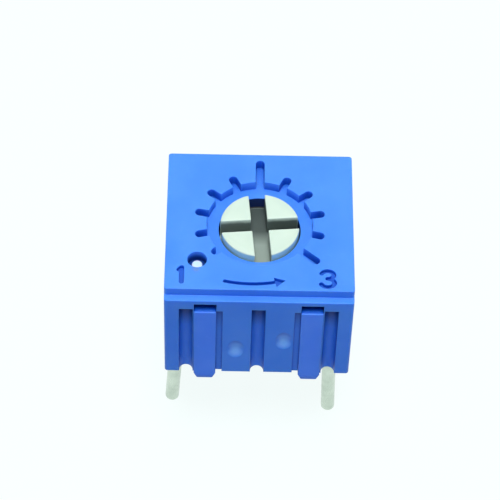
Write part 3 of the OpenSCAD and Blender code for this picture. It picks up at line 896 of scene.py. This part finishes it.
def rotor():
    """The disc with its cross slot, flange, stop lug and riveted pegs."""
    core_r, lug_root, peg_root = 0.4, 0.06, 0.1
    disc_sides, peg_sides = 128, 24
    turn = radians(pointer_angle)

    def turned(x, y):
        return x * cos(turn) - y * sin(turn), x * sin(turn) + y * cos(turn)
    profile = [(core_r, flange_z), (flange_r, flange_z), (flange_r, flange_top_z), (head_r, flange_top_z)]
    profile += [(head_r - inward, head_z - down) for down, inward in quarter_round(head_edge_r, 5)]
    body = lathe("rotor_body", profile, disc_sides)
    far, half, across = 2 * head_r, slot_w / 2, cross_slot_w / 2
    arm = [(far, -half), (far, half), (across, half), (across, far), (-across, far), (-across, half)]
    cross = [turned(x, y) for x, y in arm + [(-x, -y) for x, y in arm]]
    slots = prism("slots", cross, head_z - slot_depth, head_z + cut)
    angles = [radians(pointer_angle + lug_angle * k / 8) for k in range(-4, 5)]
    root_r = flange_r - lug_root
    outline = [(lug_reach * cos(a), lug_reach * sin(a)) for a in angles]
    outline += [(root_r * cos(a), root_r * sin(a)) for a in reversed(angles)]
    lug = prism("lug", outline, flange_z + sliver, flange_top_z - sliver)
    low = flange_z - sheet_t - peg_head_h
    peg = [(peg_head_r, low), (peg_head_r, low + peg_head_h), (peg_r, low + peg_head_h),
           (peg_r, flange_z + peg_root)]
    pegs = [lathe("peg", peg, peg_sides, *turned(x, y)) for x, y in peg_places]
    combine(body, [lug] + pegs, "UNION")
    combine(body, [slots], "DIFFERENCE")
    round_edges(body, rotor_edge_r)
    body.name = "rotor_disc"
    shade(body)
    return place(body, "rotor", "rotor", "cream_plastic")


# Leads

def sweep(name, path, across, radii, n=36):
    """Round bar along a path of points that lies in one upright plane. across is that plane's normal."""
    rings = []
    for i, p in enumerate(path):
        tangent = (path[min(i + 1, len(path) - 1)] - path[max(i - 1, 0)]).normalized()
        other = tangent.cross(across)
        turns = [2 * pi * k / n for k in range(n)]
        rings.append([p + radii[i] * (cos(a) * across + sin(a) * other) for a in turns])
    return loft(name, rings)


def bezier(a, b, c, d, n):
    """Curve from a to d that leaves towards b and arrives from c, in n steps."""
    points = []
    for i in range(n + 1):
        t = i / n
        points.append(a * (1 - t) ** 3 + b * 3 * t * (1 - t) ** 2 + c * 3 * t * t * (1 - t) + d * t ** 3)
    return points


# The cut end of a lead: distance from the end in chamfer lengths, and share of the radius
end_taper = ((1.5, 1.0), (1.0, 0.985), (0.5, 0.93), (0.15, 0.84), (0.0, 0.76))


def lead(node, x, y, way, kick, run, lean):
    """Round wire from the substrate down: upright, bent out by kick, straight for run, then back to lean.
    Angles are in degrees, and way is the compass angle in which it leans."""
    out = Vector((cos(radians(way)), sin(radians(way)), 0))
    across = Vector((-out.y, out.x, 0))
    down = Vector((0, 0, -1))

    def heading(angle):
        return sin(radians(angle)) * out + cos(radians(angle)) * down
    ease = 0.3
    start = Vector((x, y, bend_z))
    mid_1 = start + heading(kick / 2) * bend_r * radians(kick / 2)
    end_1 = mid_1 + heading(kick) * run
    mid_2 = end_1 + heading((kick + lean) / 2) * bend_r * radians(abs(kick - lean) / 2)
    length = (mid_2.z + lead_len) / cos(radians(lean))
    path = [Vector((x, y, lead_top_z))]
    if run > 0:
        path += bezier(start - down * ease, start, mid_1, mid_1 + heading(kick) * ease, 14)
        path += bezier(end_1 - heading(kick) * ease, end_1, mid_2, mid_2 + heading(lean) * ease, 14)
    else:
        path += bezier(start - down * ease, start, start, start + heading(lean) * ease, 8)
    end = mid_2 + heading(lean) * length
    radii = [lead_r] * len(path)
    for back, share in end_taper:
        path.append(end - heading(lean) * lead_chamfer * back)
        radii.append(lead_r * share)
    wire = outward(sweep(node + "_wire", path[::-1], across, radii[::-1]))
    shade(wire)
    return place(wire, node, "case", "tinned_wire")


# Camera, as the photograph was taken

def camera():
    azimuth, elevation, roll = radians(-1.098), radians(51.838), radians(1.929)
    distance = 84.004 * MM
    target = Vector((-0.32, -0.08, 3.426)) * MM
    sensor = 36.0
    focal_px, image_px = 2351.534, 500
    look = Vector((-sin(azimuth) * cos(elevation), cos(azimuth) * cos(elevation), -sin(elevation)))
    right = Vector((cos(azimuth), sin(azimuth), 0))
    up = right.cross(look)
    x_axis = right * cos(roll) + up * sin(roll)
    y_axis = up * cos(roll) - right * sin(roll)
    data = bpy.data.cameras.new("camera")
    data.sensor_width = sensor
    data.lens = focal_px / image_px * sensor
    data.clip_start, data.clip_end = 1 * MM, 10.0
    cam = link(bpy.data.objects.new("camera", data))
    turn = Matrix((x_axis, y_axis, -look)).transposed().to_4x4()
    cam.matrix_world = Matrix.Translation(target - look * distance) @ turn
    bpy.context.scene.camera = cam


# Studio

def floor():
    """Plain square sheet under the leads' ends, made in metres."""
    lowest = cad_box[0].z
    size = 0.6
    corners = [(-size, -size), (size, -size), (size, size), (-size, size)]
    obj = solid("floor", [(x, y, lowest) for x, y in corners], [[0, 1, 2, 3]])
    t = Tree("floor_paper")
    path = t.add("ShaderNodeLightPath")
    seen = t.math("MAXIMUM", path.outputs["Is Camera Ray"], path.outputs["Is Glossy Ray"])
    seen = t.math("MAXIMUM", seen, path.outputs["Is Transmission Ray"])
    colour = t.mix(seen, linear(70, 84, 106), linear(76, 78, 80))
    t.finish(colour, 0.9, Specular_IOR_Level=0.0, Emission_Color=linear(247, 255, 253))
    t.put(t.shader.inputs["Emission Strength"], t.math("MULTIPLY", seen, 0.93))
    obj.data.materials.append(t.material)


def lamp(name, azimuth, elevation, distance, size, power, colour=(1, 1, 1)):
    """Square lamp that points at the body. Azimuth counts from -Y towards +X, and lengths are in metres."""
    data = bpy.data.lights.new(name, "AREA")
    data.shape = "SQUARE"
    data.size = size
    data.energy = power
    data.color = colour
    obj = link(bpy.data.objects.new(name, data))
    a, e = radians(azimuth), radians(elevation)
    centre = Vector((0, 0, 2.5 * MM))
    back = Vector((sin(a) * cos(e), -cos(a) * cos(e), sin(e)))
    obj.location = centre + back * distance
    obj.rotation_mode = "QUATERNION"
    obj.rotation_quaternion = (-back).to_track_quat("-Z", "Y")


def studio():
    """Floor, lamps and a world that is pale to the camera and dim as a light."""
    floor()
    lamp("overhead", 180, 86, distance=0.3, size=0.12, power=0.27)
    lamp("front_top", 0, 72, distance=0.35, size=0.12, power=1.1, colour=(0.94, 0.98, 1.06))
    lamp("front_low", 0, 18, distance=0.4, size=0.2, power=0.3, colour=(0.79, 0.95, 1.33))
    for azimuth in (100, 180, -100):
        lamp("side", azimuth, 14, distance=0.4, size=0.2, power=0.45, colour=(0.9, 0.97, 1.1))
    world = bpy.data.worlds.new("world")
    bpy.context.scene.world = world
    world.use_nodes = True
    nodes, links = world.node_tree.nodes, world.node_tree.links
    path = nodes.new("ShaderNodeLightPath")
    seen = path.outputs["Is Camera Ray"]
    for kind in ("Is Glossy Ray", "Is Transmission Ray"):
        either = nodes.new("ShaderNodeMath")
        either.operation = "MAXIMUM"
        links.new(seen, either.inputs[0])
        links.new(path.outputs[kind], either.inputs[1])
        seen = either.outputs[0]
    level = nodes.new("ShaderNodeMapRange")
    links.new(seen, level.inputs["Value"])
    level.inputs["To Min"].default_value = 0.1
    level.inputs["To Max"].default_value = 1.0
    back = nodes["Background"]
    links.new(level.outputs["Result"], back.inputs["Strength"])
    back.inputs["Color"].default_value = (0.93, 0.98, 1.0, 1.0)
    bpy.context.scene.view_settings.view_transform = "Standard"


camera()
housing()
base()
rotor()
lead("terminal_1", -lead_pitch, -lead_row_y, way=149, kick=17, run=1.45, lean=3.6)
lead("terminal_2", 0, lead_row_y, way=90, kick=0, run=0, lean=0.6)
lead("terminal_3", lead_pitch, -lead_row_y, way=0, kick=7.6, run=1.2, lean=1.5)

# The pieces inside keep the solids' shapes, with the material of their slot
for sub in frame["record"]["subparts"]:
    node = frame["nodes"][sub["node"]]
    node.data.materials.clear()
    node.data.materials.append(made[sub["material_slot"]])
studio()
